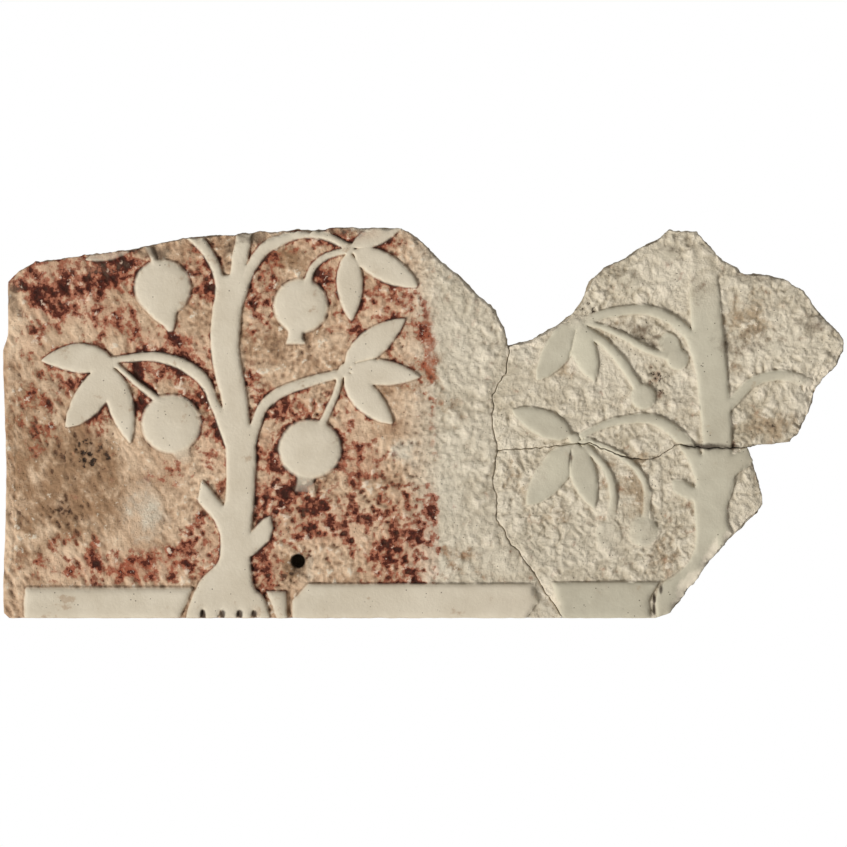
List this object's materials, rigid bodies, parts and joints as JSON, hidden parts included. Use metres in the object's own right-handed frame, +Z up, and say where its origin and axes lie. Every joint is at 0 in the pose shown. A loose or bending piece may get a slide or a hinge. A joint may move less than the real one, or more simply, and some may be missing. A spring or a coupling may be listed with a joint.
{
  "type": "relief tile fragment",
  "caption": "Broken marble wall tile with fruit trees in low relief, joined again from its pieces; flat back for bedding against a wall.",
  "frame": {"origin": "middle of the flat back, on the left piece, where the tile is bedded against the wall", "axes": "+X to the right along the tile's length as seen from the front, +Y from the carved front to the back and into the wall, +Z up"},
  "size_m": [0.75, 0.038, 0.3489],
  "materials": {
    "painted_marble": "low relief in warm cream marble, smooth figures, pick-dressed ground with worn red pigment",
    "weathered_marble": "weathered grey-tan marble, smooth figures, crystalline pitted ground"
  },
  "bodies": {
    "root": {"left_fragment": "painted_marble", "upper_right_fragment": "weathered_marble", "lower_right_fragment": "weathered_marble"}
  },
  "joints": []
}
